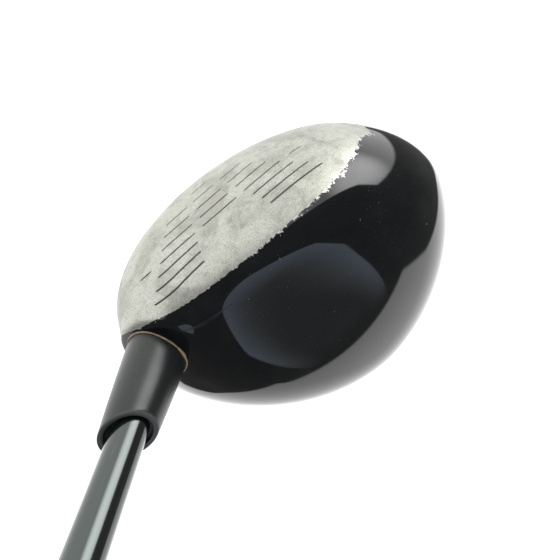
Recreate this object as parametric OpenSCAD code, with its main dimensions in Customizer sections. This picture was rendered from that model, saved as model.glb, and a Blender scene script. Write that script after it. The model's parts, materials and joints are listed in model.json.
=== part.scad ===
// Golf driver for a right-handed player, standing in its address position.
// Millimetres, +Z up. The sole rests on the ground at the origin, the face looks along -Y,
// the toe is at -X, and the shaft leans towards +X at the lie angle.

/* [Head] */
// Reach of the head from the resting point to the toe
toe_reach = 62.5; // [56:0.5:70]
// Reach of the head from the resting point to the heel
heel_reach = 50.5; // [46:0.5:58]
// Reach of the head from the resting point forward to the face
face_reach = 39; // [36:0.5:44]
// Reach of the head from the resting point back to the rear
rear_reach = 51; // [44:0.5:62]
// Height of the crown's highest point above the ground
crown_height = 58.5; // [52:0.5:66]
// Reach of the side's outline in front of the resting point, cut off by the face
brow_reach = 47.5; // [44:0.5:60]
// Squareness of the head seen from above, 2 is an ellipse
plan_power = 1.75; // [1.7:0.05:2.6]
// Lean of the rear towards the toe, as a share of the distance back
toe_lean = 0.24; // [0:0.02:0.3]
// Rounding where the crown turns into the side
crown_round = 27; // [18:1:32]
// Rounding where the side turns into the sole
sole_round = 22; // [14:1:30]
// Radius of the crown from heel to toe
crown_radius_across = 75; // [66:1:120]
// Radius of the crown behind its highest point
crown_radius_rear = 81; // [66:1:120]
// Radius of the crown in front of its highest point
crown_radius_front = 124; // [90:2:200]
// Radius of the sole from heel to toe
sole_radius_across = 156; // [110:2:220]
// Radius of the sole from front to back
sole_radius_along = 109; // [85:1:180]

/* [Face] */
// Loft of the face from vertical
loft = 10.2; // [8:0.2:14]
// Bulge radius of the face from heel to toe
bulge_radius = 310; // [220:10:420]
// Roll radius of the face from sole to crown
roll_radius = 300; // [220:10:420]
// Height of the middle of the face above the ground
face_middle = 24; // [21:0.5:30]
// Rounding of the edge around the face
face_edge_round = 9; // [5:0.5:10]
// Sweep of the face plate from straight ahead round to the toe, in degrees
face_toe_sweep = 62.5; // [54:0.5:66]
// Sweep of the face plate from straight ahead round to the heel, in degrees
face_heel_sweep = 64; // [54:0.5:66]
// Depth of the scorelines
score_depth = 0.3; // [0.2:0.05:0.6]
// Width of the scorelines
score_width = 0.6; // [0.4:0.05:1]
// Height of the lowest scoreline above the ground
score_first = 22.2; // [19:0.2:25]
// Spacing of the two lowest scorelines
score_pitch = 4.5; // [3.5:0.1:4.8]
// Radius to which the scorelines bow
score_bow = 100; // [80:5:400]

/* [Walls] */
// Thickness of the face plate
face_wall = 3.0; // [2.2:0.1:4]
// Thickness of the crown
crown_wall = 1.0; // [0.7:0.1:2]
// Thickness of the skirt
skirt_wall = 1.2; // [0.8:0.1:2.2]
// Thickness of the sole
sole_wall = 1.6; // [1.2:0.1:2.6]
// Height of the seam between crown and skirt
crown_seam = 33; // [29:1:38]
// Height of the seam between skirt and sole
sole_seam = 13; // [10:1:16]
// Depth of the inlaid plate on the sole
sole_plate_depth = 0.7; // [0.4:0.1:1]

/* [Hosel and shaft] */
// Lie angle of the shaft above the ground
lie = 58; // [54:0.5:64]
// Where the shaft's line meets the ground, towards the heel
shaft_x = 12; // [9:0.5:15]
// Where the shaft's line meets the ground, towards the face
shaft_y = -19.5; // [-21:0.5:-16]
// Length of the club along the shaft, from the ground to the end of the grip
club_length = 1143; // [1040:5:1220]
// Diameter of the shaft at its tip
tip_d = 8.4; // [8:0.1:9.2]
// Diameter of the shaft at its butt
butt_d = 15.24; // [14:0.1:16]
// Length of the straight part of the shaft at its tip
tip_straight = 75; // [50:5:120]
// Wall of the shaft
shaft_wall = 1.3; // [0.8:0.1:1.6]
// Outer diameter of the hosel tube
hosel_d = 14.2; // [13.4:0.1:15]
// Thickness of the head's skin around the hosel tube, where the ferrule's foot stands
neck_wall = 0.9; // [0.7:0.1:1.2]
// Rounding between the head and its neck
neck_round = 12; // [8:1:14]
// Depth that the shaft goes into the hosel tube
bond_depth = 34; // [28:1:38]
// Glue gap between shaft and hosel tube
bond_gap = 0.15; // [0.1:0.05:0.3]
// Height of the hosel tube's rim above the crown at the middle of the shaft
hosel_stub = 0; // [-0.5:0.5:2]
// Length of the ferrule
ferrule_length = 25; // [20:0.5:34]
// Diameter of the ferrule at its open end
ferrule_end_d = 11.7; // [10.8:0.1:12.4]
// Slant of the ferrule's open end
ferrule_slant = 27; // [0:1:30]
// Height of the glue bead under the ferrule
glue_bead = 0.4; // [0.2:0.1:0.8]

/* [Grip] */
// Length of the grip without its cap
grip_length = 262; // [240:2:300]
// Diameter of the grip at its mouth
grip_mouth_d = 17.6; // [17:0.2:20]
// Diameter of the grip at its butt
grip_butt_d = 26; // [24:0.5:30]
// Diameter of the grip cap
cap_d = 28; // [26:0.5:34]
// Thickness of the grip cap
cap_height = 5; // [4:0.5:8]
// Diameter of the vent hole in the grip cap
vent_d = 3.2; // [2:0.1:5]
// Thickness of the grip tape
tape_wall = 0.3; // [0.2:0.1:0.5]

/* [Hidden] */

titanium = "silver";
black_paint = "#15181a";
glue = "#b59a63";
rubber = "#1c1c1e";

// The head is the inside of four smooth surfaces, blended into each other at their edges.
// Each term is close to a distance: below zero inside its surface and above zero outside.
crown_peak = [-0.7, -10.8];
core_drop = 1;
core = [0, 0, crown_height / 2 - core_drop];
ray_halvings = 16;
least_slope = 0.012;

function blend_max(a, b, r) =
    let (h = max(r - abs(a - b), 0) / r)
    max(a, b) + h * h * r / 4;

function crown_term(p) =
    let (dx = (p.x - crown_peak.x) / crown_radius_across)
    let (dy = (p.y - crown_peak.y) / (p.y > crown_peak.y ? crown_radius_rear : crown_radius_front))
    let (drop = dx * (p.x - crown_peak.x) / 2 + dy * (p.y - crown_peak.y) / 2)
    (p.z - crown_height + drop) / sqrt(1 + dx * dx + dy * dy);

function sole_term(p) =
    let (dx = p.x / sole_radius_across)
    let (dy = p.y / sole_radius_along)
    (dx * p.x / 2 + dy * p.y / 2 - p.z) / sqrt(1 + dx * dx + dy * dy);

function side_term(p) =
    let (across = p.x + toe_lean * p.y)
    let (a = across < 0 ? toe_reach : heel_reach)
    let (b = p.y < 0 ? brow_reach : rear_reach)
    let (u = abs(across) / a)
    let (v = abs(p.y) / b)
    let (g = pow(pow(u, plan_power) + pow(v, plan_power), 1 / plan_power) + 1e-6)
    let (gu = pow(u, plan_power - 1) / a)
    let (gv = pow(v, plan_power - 1) / b)
    (g - 1) / max(sqrt(gu * gu + gv * gv) * pow(g, 1 - plan_power), least_slope);

function face_term(p) =
    let (up = (p.z - face_middle) * cos(loft) + (p.y + face_reach) * sin(loft))
    let (out = (p.z - face_middle) * sin(loft) - (p.y + face_reach) * cos(loft))
    out + p.x * p.x / (2 * bulge_radius) + up * up / (2 * roll_radius);

function body_level(p) =
    let (lid = blend_max(crown_term(p), side_term(p), crown_round))
    let (shell = blend_max(lid, sole_term(p), sole_round))
    blend_max(shell, face_term(p), face_edge_round);

// The shaft's line runs from where it meets the ground, and leaves the body at stub_top along it
shaft_foot = [shaft_x, shaft_y, 0];
shaft_way = [cos(lie), 0, sin(lie)];
function shaft_exit(low, high, step = 0) =
    step == ray_halvings ? (low + high) / 2 :
    let (mid = (low + high) / 2)
    body_level(shaft_foot + shaft_way * mid) > 0
        ? shaft_exit(low, mid, step + 1)
        : shaft_exit(mid, high, step + 1);
exit_search = [20, 120];
stub_top = shaft_exit(exit_search[0], exit_search[1]) + hosel_stub;

// The skin swells out around the hosel tube into a neck that ends square under the ferrule. Only its
// side towards the face and the heel stands out: neck_side points away from it, neck_turn round the shaft.
neck_r = hosel_d / 2 + neck_wall;
neck_top = stub_top - neck_round * 0.2;
neck_length = 20;
neck_rim = 1.5;
neck_turn = 115;
neck_side = [cos(neck_turn) * sin(lie), sin(neck_turn), -cos(neck_turn) * cos(lie)];
neck_lean = 1;
neck_side_round = 6;
function neck_term(p) =
    let (off = p - shaft_foot)
    let (along = off * shaft_way)
    let (away = norm(off - along * shaft_way) - neck_r)
    let (post = blend_max(away, along - neck_top, neck_rim))
    max(blend_max(post, off * neck_side + neck_lean, neck_side_round), neck_top - neck_length - along);

function head_level(p) = -blend_max(-body_level(p), -neck_term(p), neck_round);

// How many times the ray fits between the core and the surface that lies depth under the skin
function ray_reach(ray, depth, low = 0, high = 3, step = 0) =
    step == ray_halvings ? (low + high) / 2 :
    let (mid = (low + high) / 2)
    head_level(core + ray * mid) > -depth
        ? ray_reach(ray, depth, low, mid, step + 1)
        : ray_reach(ray, depth, mid, high, step + 1);

function skin_point(ray, depth) = core + ray * ray_reach(ray, depth);

// Columns around the head: first those of the face plate, toe to heel, then the rest
front_columns = 44;
back_columns = 46;
straight_ahead = -90;
front_angle = [for (i = [0 : front_columns])
    straight_ahead - face_toe_sweep + i * (face_toe_sweep + face_heel_sweep) / front_columns];
heel_angle = front_angle[front_columns];
back_sweep = 360 + front_angle[0] - heel_angle;
back_angle = [for (i = [0 : back_columns]) heel_angle + back_sweep * i / back_columns];
all_angle = concat([for (i = [0 : front_columns - 1]) front_angle[i]],
    [for (i = [0 : back_columns - 1]) back_angle[i]]);

// Heights of the two seams, which rise and fall to follow the edge of the face at the front
face_top_rise = 4.4;
face_top = crown_height + face_top_rise;
face_top_toe_sag = 11.3;
face_top_heel_sag = 10.4;
face_bottom = 5;
face_bottom_rise = 5;
ease_angle = 34;
least_ahead = 0.55;

function ease(t) = t <= 0 ? 0 : t >= 1 ? 1 : t * t * (3 - 2 * t);
function face_share(angle) =
    let (a = angle < -180 ? angle + 360 : angle > 180 ? angle - 360 : angle)
    a >= front_angle[0] && a <= heel_angle ? 1 :
    1 - ease(min(abs(a - heel_angle), abs(a - heel_angle + 360), abs(a - front_angle[0]),
        abs(a - front_angle[0] - 360)) / ease_angle);
function seam_height(angle, front, bend, back) =
    let (across = cos(angle) / max(abs(sin(angle)), least_ahead))
    let (at_front = front - bend * across * across)
    back + (at_front - back) * face_share(angle);
function upper_height(angle) =
    seam_height(angle, face_top, cos(angle) > 0 ? face_top_heel_sag : face_top_toe_sag, crown_seam);
function lower_height(angle) = seam_height(angle, face_bottom, -face_bottom_rise, sole_seam);

// Rays from the core, given as the point that they pass through, less the core
function level_ray(angle, height) =
    let (flat = [cos(angle), sin(angle), 0])
    let (reach = ray_reach(flat * toe_reach, 0))
    flat * toe_reach * reach + [0, 0, height - core.z];
function band_rays(angles, rows) =
    [for (a = angles)
        let (low = level_ray(a, lower_height(a)))
        let (high = level_ray(a, upper_height(a)))
        [for (k = [0 : rows]) low + (high - low) * k / rows]];
function lid_rays(angles, pole, rings, upper) =
    [for (k = [1 : rings])
        let (share = sin(90 * k / rings))
        [for (a = angles) pole + (level_ray(a, upper ? upper_height(a) : lower_height(a)) - pole) * share]];

function flat_list(rows) = [for (row = rows) each row];
function both(rays, outer, inner) =
    concat([for (i = [0 : len(rays) - 1]) skin_point(rays[i], is_num(outer) ? outer : outer[i])],
        [for (r = rays) skin_point(r, inner)]);
function quad(a, b, c, d) = [[a, b, c], [a, c, d]];

// Wall over a grid of rays, columns by rows, open on its four sides
module wall_patch(grid, outer, inner) {
    cols = len(grid);
    rows = len(grid[0]);
    far = cols * rows;
    skin = [for (i = [0 : cols - 2]) for (k = [0 : rows - 2])
        each quad(i * rows + k, i * rows + k + 1, (i + 1) * rows + k + 1, (i + 1) * rows + k)];
    lining = [for (f = skin) [f[0] + far, f[2] + far, f[1] + far]];
    ends = [for (k = [0 : rows - 2])
        each concat(quad(k, k + far, k + 1 + far, k + 1),
            quad(far - rows + k, far - rows + k + 1, 2 * far - rows + k + 1, 2 * far - rows + k))];
    edges = [for (i = [0 : cols - 2])
        let (a = (i + 1) * rows - 1)
        let (b = (i + 2) * rows - 1)
        each concat(quad(i * rows, (i + 1) * rows, (i + 1) * rows + far, i * rows + far),
            quad(a, a + far, b + far, b))];
    polyhedron(both(flat_list(grid), outer, inner), concat(skin, lining, ends, edges), 10);
}

// Wall over rings of rays around a pole, closed in the middle
module wall_lid(pole, rings, outer, inner, flip) {
    n = len(rings[0]);
    m = len(rings);
    far = n * m + 1;
    skin = concat(
        [for (i = [0 : n - 1]) [0, 1 + i, 1 + (i + 1) % n]],
        [for (k = [0 : m - 2]) for (i = [0 : n - 1])
            each quad(1 + k * n + i, 1 + (k + 1) * n + i,
                1 + (k + 1) * n + (i + 1) % n, 1 + k * n + (i + 1) % n)]);
    lining = [for (f = skin) [f[0] + far, f[2] + far, f[1] + far]];
    rim = [for (i = [0 : n - 1])
        let (a = 1 + (m - 1) * n + i)
        let (b = 1 + (m - 1) * n + (i + 1) % n)
        each quad(a, a + far, b + far, b)];
    faces = concat(skin, lining, rim);
    polyhedron(both(concat([pole], flat_list(rings)), outer, inner),
        flip ? faces : [for (f = faces) [f[0], f[2], f[1]]], 10);
}

// Z runs up the shaft from where its line meets the ground
module on_shaft(along = 0) {
    translate(shaft_foot)
        rotate([0, 90 - lie, 0])
            translate([0, 0, along])
                children();
}

ferrule_foot = stub_top + glue_bead;
ferrule_end = ferrule_foot + ferrule_length;
tip_end = stub_top - bond_depth;
plug_height = 2.5;
tube_end = tip_end - plug_height;
butt_end = club_length - cap_height;
grip_mouth = butt_end - grip_length;
shaft_r = tip_d / 2;
bore_r = shaft_r + bond_gap;
weld_gap = 0.15;
$fn = 96;

clear = 1;

module ring(outer, inner, height) {
    difference() {
        cylinder(r = outer, h = height);
        translate([0, 0, -clear])
            cylinder(r = inner, h = height + 2 * clear);
    }
}

// Room in the shells for the hosel tube, and above it for the glue bead and the ferrule
module hosel_room() {
    on_shaft(tube_end)
        cylinder(d = hosel_d, h = bond_depth * 2);
    on_shaft(stub_top)
        cylinder(r = neck_r, h = ferrule_length);
}

// The scorelines stand in three groups about one middle, and close up towards the crown.
// Each group's ends run outwards by a step with every line.
score_middle = 3.1;
score_closing = 0.135;
middle_end = [2.4, 0.75];
inner_end = [5.1, 0.82];
outer_end = [10.4, 2.4];
last_middle_row = 4;
last_side_row = 7;
dash_row = 4;
dash_ends = [23.5, 26.9];
score_columns = 6;
function end_at(end, row) = end[0] + end[1] * row;
function score_height(off, row) =
    score_first + score_pitch * row - score_closing * row * (row - 1) - off * off / (2 * score_bow);

// Groove that follows the skin between two offsets from the middle
module score_cut(from, to, row) {
    grid = [for (i = [0 : score_columns])
        let (off = from + (to - from) * i / score_columns)
        let (z = score_height(off, row))
        let (y = (z - face_middle) * tan(loft) - face_reach)
        [for (up = [-0.5, 0.5]) [score_middle + off, y, z + up * score_width] - core]];
    wall_patch(grid, -score_depth, score_depth);
}

face_rows = 10;
module face_plate() {
    color(titanium)
        difference() {
            wall_patch(band_rays(front_angle, face_rows), 0, face_wall);
            hosel_room();
            for (row = [0 : last_middle_row])
                score_cut(-end_at(middle_end, row), end_at(middle_end, row), row);
            for (row = [1 : last_side_row]) {
                score_cut(end_at(inner_end, row), end_at(outer_end, row), row);
                score_cut(-end_at(outer_end, row), -end_at(inner_end, row), row);
            }
            score_cut(dash_ends[0], dash_ends[1], dash_row);
            score_cut(-dash_ends[1], -dash_ends[0], dash_row);
        }
}

crown_pole = [0, 0, crown_height - core.z];
sole_pole = [0, 0, -core.z];

crown_rings = 16;
module crown_shell() {
    color(black_paint)
        difference() {
            wall_lid(crown_pole, lid_rays(all_angle, crown_pole, crown_rings, true), 0, crown_wall, false);
            hosel_room();
        }
}

skirt_rows = 6;
module skirt_band() {
    color(black_paint)
        difference() {
            wall_patch(band_rays(back_angle, skirt_rows), 0, skirt_wall);
            hosel_room();
        }
}

// The sole is a lid upside down, with a step where the inlaid plate ends
plate_share = 0.56;
step_share = 0.57;
plate_ring_count = 4;
outer_ring_count = 5;
function sole_ring(share) =
    [for (a = all_angle) sole_pole + (level_ray(a, lower_height(a)) - sole_pole) * share];
plate_rings = [for (k = [1 : plate_ring_count]) sole_ring(plate_share * k / plate_ring_count)];
outer_rings = [for (k = [0 : outer_ring_count])
    sole_ring(step_share + (1 - step_share) * k / outer_ring_count)];

module sole_shell() {
    n = len(all_angle);
    depths = concat([for (i = [0 : plate_ring_count * n]) sole_plate_depth],
        [for (i = [1 : (outer_ring_count + 1) * n]) 0]);
    color(titanium)
        wall_lid(sole_pole, concat(plate_rings, outer_rings), depths, sole_wall, true);
}

module sole_plate() {
    color(titanium)
        wall_lid(sole_pole, plate_rings, 0, sole_plate_depth, true);
}

// Rays towards points on the ground, as columns along y for each x
function floor_rays(xs, ys) = [for (x = xs) [for (y = ys) [x, y, -core.z]]];

rib_x = [-30, -12, 6];
rib_y = [-26 : 5 : 29];
rib_height = 3.5;
rib_wall = 1.2;
module sole_ribs() {
    color(titanium)
        for (x = rib_x)
            wall_patch(floor_rays([x - rib_wall / 2, x + rib_wall / 2], rib_y),
                sole_wall + weld_gap, sole_wall + weld_gap + rib_height);
}

melt_x = [-27 : 3 : -15];
melt_y = [6 : 4 : 22];
melt_height = 2;
module hot_melt_pad() {
    color(glue)
        wall_patch(floor_rays(melt_x, melt_y), sole_wall + weld_gap, sole_wall + weld_gap + melt_height);
}

// Weight pads on the inside of the wall: from angle, to angle, from height, to height, thickness
heel_pad = [-2, 26, 9, 19, 4];
toe_pad = [158, 186, 9, 20, 4];
rear_pad = [72, 112, 10, 22, 5];
pad_columns = 6;
pad_rows = 3;
module wall_pad(pad) {
    grid = [for (i = [0 : pad_columns])
        let (a = pad[0] + (pad[1] - pad[0]) * i / pad_columns)
        [for (k = [0 : pad_rows]) level_ray(a, pad[2] + (pad[3] - pad[2]) * k / pad_rows)]];
    wall_patch(grid, sole_wall + weld_gap, sole_wall + weld_gap + pad[4]);
}

module heel_weight_pad() {
    color(titanium)
        wall_pad(heel_pad);
}

module toe_weight_pad() {
    color(titanium)
        wall_pad(toe_pad);
}

module rear_weight_pad() {
    color(titanium)
        wall_pad(rear_pad);
}

module hosel_tube() {
    color(titanium)
        on_shaft(tube_end)
            ring(hosel_d / 2, bore_r, stub_top - tube_end);
}

module hosel_plug() {
    color(titanium)
        on_shaft(tube_end)
            cylinder(r = bore_r, h = plug_height);
}

// Post that stands on the sole and carries the foot of the hosel tube
post_d = 6;
below_sole = 8;
module hosel_brace() {
    color(titanium)
        difference() {
            on_shaft()
                cylinder(d = post_d, h = tube_end);
            wall_lid(sole_pole, concat(plate_rings, outer_rings), -below_sole, sole_wall + weld_gap, true);
        }
}

module tip_epoxy() {
    color(glue)
        on_shaft(tip_end)
            ring(bore_r, shaft_r, stub_top - tip_end);
}

weight_start = tip_end + 1;
weight_length = 22;
module tip_weight() {
    color("goldenrod")
        on_shaft(weight_start)
            cylinder(r = shaft_r - shaft_wall, h = weight_length);
}

cork_length = 10;
module tip_cork() {
    color("tan")
        on_shaft(weight_start + weight_length)
            cylinder(r = shaft_r - shaft_wall, h = cork_length);
}

module ferrule_glue_ring() {
    bulge = 0.2;
    color(glue)
        on_shaft(stub_top)
            rotate_extrude()
                polygon([[shaft_r, 0], [neck_r - bulge, 0], [neck_r, glue_bead / 2],
                    [neck_r - bulge, glue_bead], [shaft_r, glue_bead]]);
}

// Long collar, cut off at a slant and counterbored around the shaft at its open end
ferrule_recess = 1.3;
ferrule_lip = 0.75;
slant_turn = -5;
slant_block = 50;
// Everything beyond the slanted end, less a depth
module beyond_slant(depth) {
    translate([0, 0, ferrule_length - depth])
        rotate([0, 0, slant_turn])
            rotate([0, -ferrule_slant, 0])
                translate([-slant_block / 2, -slant_block / 2, 0])
                    cube(slant_block);
}
module ferrule() {
    foot_r = neck_r;
    end_r = ferrule_end_d / 2;
    belly = 0.15;
    full = ferrule_length + end_r;
    outline = [for (i = [0 : 8])
        let (t = i / 8)
        [foot_r + (end_r - foot_r) * t + belly * sin(180 * t), full * t]];
    color("#202426")
        on_shaft(ferrule_foot)
            difference() {
                rotate_extrude()
                    polygon(concat([[shaft_r, 0]], outline, [[shaft_r, full]]));
                beyond_slant(0);
                intersection() {
                    beyond_slant(ferrule_recess);
                    cylinder(r = end_r - ferrule_lip, h = full);
                }
            }
}

butt_parallel = 10;
module shaft() {
    straight = tip_end + tip_straight;
    bore = shaft_r - shaft_wall;
    butt_r = butt_d / 2;
    color("#6f7672")
        on_shaft()
            rotate_extrude()
                polygon([[bore, tip_end], [shaft_r, tip_end], [shaft_r, straight],
                    [butt_r, grip_mouth - butt_parallel], [butt_r, butt_end],
                    [butt_r - shaft_wall, butt_end], [butt_r - shaft_wall, grip_mouth - butt_parallel], [bore, straight]]);
}

module grip_tape() {
    color("ivory")
        on_shaft(grip_mouth)
            ring(butt_d / 2 + tape_wall, butt_d / 2, grip_length);
}

grip_flare = 1.3;
module grip_sleeve() {
    mouth_r = grip_mouth_d / 2;
    end_r = grip_butt_d / 2;
    inner = butt_d / 2 + tape_wall;
    outline = [for (i = [0 : 16])
        let (t = i / 16)
        [mouth_r + (end_r - mouth_r) * pow(t, grip_flare), grip_length * t]];
    color(rubber)
        on_shaft(grip_mouth)
            rotate_extrude()
                polygon(concat([[inner, 0]], outline, [[inner, grip_length]]));
}

module grip_cap() {
    edge = 1.6;
    cap_r = cap_d / 2;
    rounding = [for (i = [0 : 6])
        [cap_r - edge + edge * cos(15 * i), cap_height - edge + edge * sin(15 * i)]];
    color(rubber)
        on_shaft(butt_end)
            rotate_extrude()
                polygon(concat([[vent_d / 2, 0], [cap_r - edge / 2, 0], [cap_r, edge / 2]], rounding,
                    [[vent_d / 2, cap_height]]));
}

face_plate();
crown_shell();
skirt_band();
sole_shell();
sole_plate();
sole_ribs();
hosel_tube();
hosel_plug();
hosel_brace();
heel_weight_pad();
toe_weight_pad();
rear_weight_pad();
hot_melt_pad();
tip_epoxy();
tip_weight();
tip_cork();
ferrule_glue_ring();
ferrule();
shaft();
grip_tape();
grip_sleeve();
grip_cap();
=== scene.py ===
# %% [markdown]
# # A golf driver, built piece by piece
# The club stands in its address position: the sole rests on the floor at the origin, the face looks along -Y,
# the toe is at -X and the shaft leans towards +X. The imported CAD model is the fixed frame. Its inner pieces are
# kept and painted, and its outer shells are replaced with finer ones on the same surfaces.

# %% Load the fixed frame
import bpy, json, math
import numpy as np
from mathutils import Matrix, Vector


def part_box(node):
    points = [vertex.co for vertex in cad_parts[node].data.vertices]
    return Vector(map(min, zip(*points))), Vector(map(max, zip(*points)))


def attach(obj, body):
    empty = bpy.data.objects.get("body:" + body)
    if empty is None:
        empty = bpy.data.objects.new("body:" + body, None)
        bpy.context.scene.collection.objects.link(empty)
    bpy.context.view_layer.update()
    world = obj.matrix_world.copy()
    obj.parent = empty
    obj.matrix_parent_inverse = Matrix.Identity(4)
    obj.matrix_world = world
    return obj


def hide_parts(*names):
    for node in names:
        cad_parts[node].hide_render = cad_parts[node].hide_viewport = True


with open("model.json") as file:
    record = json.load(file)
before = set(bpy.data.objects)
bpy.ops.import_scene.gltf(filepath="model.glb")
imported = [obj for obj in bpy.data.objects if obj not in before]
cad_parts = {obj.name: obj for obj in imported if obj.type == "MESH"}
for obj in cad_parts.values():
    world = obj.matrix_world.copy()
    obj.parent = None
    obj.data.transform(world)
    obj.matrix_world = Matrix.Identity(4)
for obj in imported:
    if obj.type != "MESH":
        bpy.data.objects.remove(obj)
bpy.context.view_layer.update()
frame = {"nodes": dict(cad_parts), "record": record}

# %% [markdown]
# Colours are shown as they are lit, with no film look, so that a white floor stays white and black paint stays
# black. The scene's clock and frame range don't matter, because nothing on this club moves.

# %% Plain colour management
bpy.context.scene.view_settings.view_transform = "Standard"
bpy.context.scene.view_settings.look = "None"
print("view transform:", bpy.context.scene.view_settings.view_transform)

# %% [markdown]
# ## The camera
# A close, slightly wide lens looks down the front of the head from the heel side of the face, as a buyer holds a
# club up to look at it. It is turned about its own axis, so that the shaft runs to the lower left. The camera's
# three axes are worked out from its angles and written into its matrix, which leaves nothing to constraints.

# %% Place the camera
CAMERA = dict(azimuth=1.99, elevation=59.6, distance=0.15355, roll=137.25, focus=540.0)
aim = Vector((0.00257, -0.00711, 0.035))
az, el, roll = (math.radians(CAMERA[k]) for k in ("azimuth", "elevation", "roll"))
back = Vector((math.sin(az) * math.cos(el), -math.cos(az) * math.cos(el), math.sin(el)))
level_right = Vector((0, 0, 1)).cross(back).normalized()
level_up = back.cross(level_right)
right = math.cos(roll) * level_right + math.sin(roll) * level_up
up = math.cos(roll) * level_up - math.sin(roll) * level_right
camera = bpy.data.objects.new("camera", bpy.data.cameras.new("camera"))
camera.data.lens = 36 * CAMERA["focus"] / 560
camera.data.clip_start, camera.data.clip_end = 0.005, 50
turned = Matrix((right, up, back)).transposed().to_4x4()
camera.matrix_world = Matrix.Translation(aim + back * CAMERA["distance"]) @ turned
bpy.context.scene.collection.objects.link(camera)
bpy.context.scene.camera = camera
print("camera at", [round(v, 4) for v in camera.location], "lens", round(camera.data.lens, 2))

# %% [markdown]
# ## The head as a formula
# A driver's head is one smooth lump. A pile of vertices could be pushed into that shape by hand, but the club's
# maker draws it as a few large radii that run into each other, and so does this script. Four surfaces (crown,
# side, sole and face) each give a number close to a distance, below zero inside. A soft maximum joins them, and
# the rounding of each edge is the width of that softness. Millimetres are used here, as in a workshop.

# %% The four surfaces and their soft edges
HEAD = dict(toe=62.5, heel=50.5, face=39.0, brow=47.5, rear=51.0, height=58.5, squareness=1.75, lean=0.24,
            crown_edge=27.0, sole_edge=22.0, face_edge=9.0, loft=math.radians(10.2), bulge=310.0, roll=300.0,
            face_middle=24.0, peak=(-0.7, -10.8), crown_across=75.0, crown_rear=81.0, crown_front=124.0,
            sole_across=156.0, sole_along=109.0)
CORE = np.array([0, 0, HEAD["height"] / 2 - 1])

def soft_max(a, b, r):
    h = np.maximum(r - np.abs(a - b), 0) / r
    return np.maximum(a, b) + h * h * r / 4

def crown_term(p):
    x, y = p[..., 0] - HEAD["peak"][0], p[..., 1] - HEAD["peak"][1]
    dx, dy = x / HEAD["crown_across"], y / np.where(y > 0, HEAD["crown_rear"], HEAD["crown_front"])
    return (p[..., 2] - HEAD["height"] + dx * x / 2 + dy * y / 2) / np.sqrt(1 + dx * dx + dy * dy)

def sole_term(p):
    dx, dy = p[..., 0] / HEAD["sole_across"], p[..., 1] / HEAD["sole_along"]
    return (dx * p[..., 0] / 2 + dy * p[..., 1] / 2 - p[..., 2]) / np.sqrt(1 + dx * dx + dy * dy)

def side_term(p):
    across, n = p[..., 0] + HEAD["lean"] * p[..., 1], HEAD["squareness"]
    a = np.where(across < 0, HEAD["toe"], HEAD["heel"])
    b = np.where(p[..., 1] < 0, HEAD["brow"], HEAD["rear"])
    u, v = np.abs(across) / a, np.abs(p[..., 1]) / b
    g = (u ** n + v ** n) ** (1 / n) + 1e-6
    return (g - 1) / np.maximum(np.hypot(u ** (n - 1) / a, v ** (n - 1) / b) * g ** (1 - n), 0.012)

def face_term(p):
    z, y, tilt = p[..., 2] - HEAD["face_middle"], p[..., 1] + HEAD["face"], HEAD["loft"]
    climb, out = z * math.cos(tilt) + y * math.sin(tilt), z * math.sin(tilt) - y * math.cos(tilt)
    return out + p[..., 0] ** 2 / (2 * HEAD["bulge"]) + climb ** 2 / (2 * HEAD["roll"])

def body_level(p):
    lid = soft_max(crown_term(p), side_term(p), HEAD["crown_edge"])
    return soft_max(soft_max(lid, sole_term(p), HEAD["sole_edge"]), face_term(p), HEAD["face_edge"])

print("level at the core:", round(float(body_level(CORE)), 2), "mm")

# %% [markdown]
# The hosel, ferrule, shaft and grip share one slanted line, which the record's mount on the grip gives. Where
# that line leaves the head, the skin swells into a short neck that the ferrule stands on. The neck is a cylinder
# joined to the body by a soft minimum, the opposite of the soft maximum above. Only its side towards the face and
# the heel stands out, as on a club whose crown runs straight up to the ferrule.

# %% The shaft's line and the neck round it
grip_hold = next(m for m in frame["record"]["mounts"] if m["name"] == "grip_hold")
way = np.array(grip_hold["axis"]) / np.linalg.norm(grip_hold["axis"])
foot = np.array(grip_hold["pos_m"]) * 1000
foot = foot - way * foot[2] / way[2]
side_axis = np.cross([0, 1, 0], way)
def span(node):
    along = (np.array([v.co for v in frame["nodes"][node].data.vertices]) * 1000 - foot) @ way
    return float(along.min()), float(along.max())

tube_top = span("hosel_tube")[1]
NECK = dict(radius=8.0, blend=12.0, length=20.0, rim=1.5, top=tube_top - 2.4)
turn_away = math.radians(115)
neck_side = math.cos(turn_away) * side_axis + math.sin(turn_away) * np.array([0.0, 1.0, 0.0])

def head_level(p):
    off = p - foot
    along = off @ way
    away = np.linalg.norm(off - along[..., None] * way, axis=-1) - NECK["radius"]
    post = soft_max(away, along - NECK["top"], NECK["rim"])
    neck = np.maximum(soft_max(post, off @ neck_side + 1, 6.0), NECK["top"] - NECK["length"] - along)
    return -soft_max(-body_level(p), -neck, NECK["blend"])

print("hosel tube ends", round(tube_top, 2), "mm up the line; level at the core:",
      round(float(head_level(CORE)), 2))

# %% [markdown]
# The skin is where the level is zero. Rays leave a point in the middle of the head, and halving the step over and
# over finds the skin on each one. The slope of the level gives the exact normal there, so gloss paint mirrors the
# room without the ripples that averaged face normals leave.

# %% Find the skin and its normals
def on_skin(rays, depth=0.0):
    low, high = np.zeros(rays.shape[:-1]), np.full(rays.shape[:-1], 3.0)
    for _ in range(30):
        middle = (low + high) / 2
        outside = head_level(CORE + rays * middle[..., None]) > -depth
        low, high = np.where(outside, low, middle), np.where(outside, middle, high)
    return CORE + rays * low[..., None]

def skin_normals(p, step=0.02):
    slope = np.stack([head_level(p + d) - head_level(p - d) for d in np.eye(3) * step], -1)
    return slope / np.linalg.norm(slope, axis=-1, keepdims=True)

lid_point = on_skin(np.array([[0.0, 0.0, 30.0]]))[0]
print("crown above the core:", np.round(lid_point, 2), "normal", np.round(skin_normals(lid_point), 3))

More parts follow.
